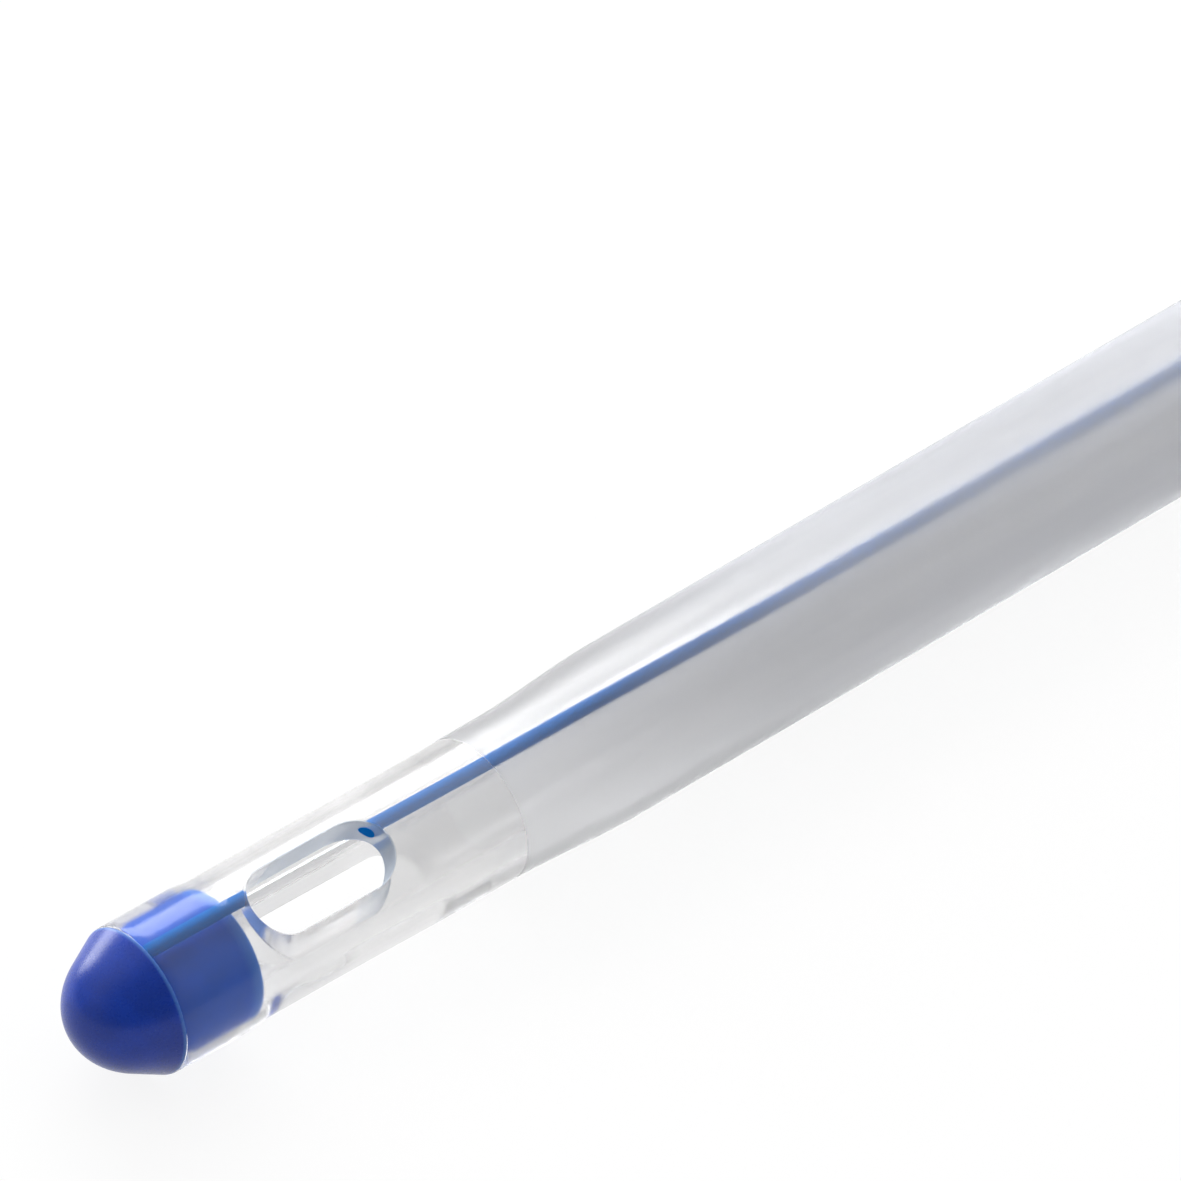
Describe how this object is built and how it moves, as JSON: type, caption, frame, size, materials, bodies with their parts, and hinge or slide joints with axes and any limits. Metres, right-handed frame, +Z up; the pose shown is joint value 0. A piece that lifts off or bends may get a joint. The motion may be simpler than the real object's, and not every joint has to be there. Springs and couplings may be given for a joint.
{
  "type": "urinary balloon catheter",
  "caption": "Clear silicone urinary catheter with a blue rounded tip, punched drainage eyes, a balloon sleeve and a forked funnel with an inflation valve.",
  "frame": {"origin": "middle of the catheter's footprint on the table it lies on", "axes": "+X along the straight shaft from the tip towards the turn, +Y to the side that the funnel lies on, +Z up"},
  "size_m": [0.359, 0.1564, 0.0141],
  "materials": {
    "clear_silicone": "clear and glossy",
    "blue_silicone": "satin, opaque",
    "marker_silicone": "satin, opaque",
    "balloon_silicone": "frosted, thin",
    "funnel_silicone": "milky, satin",
    "valve_plastic": "satin",
    "stem_plastic": "satin",
    "seal_rubber": "matt",
    "spring_steel": "bright"
  },
  "bodies": {
    "catheter": {"tip_plug": "blue_silicone", "shaft_tube": "clear_silicone", "marker_strand_front": "marker_silicone", "marker_strand": "marker_silicone", "inflation_lumen_seal": "clear_silicone", "balloon_sleeve": "balloon_silicone", "y_funnel": "funnel_silicone", "valve_body": "valve_plastic", "luer_body": "valve_plastic", "valve_spring": "spring_steel"},
    "valve_stem": {"valve_stem": "stem_plastic", "valve_seal": "seal_rubber"}
  },
  "joints": [
    {"name": "stem_press", "type": "slide", "parent": "catheter", "child": "valve_stem", "axis": [-0.2265, -0.9729, -0.0461], "range_m": [0, 0.0015], "stiffness_N_per_m": 600, "springref_m": -0.001, "deforming": ["valve_spring"]}
  ]
}
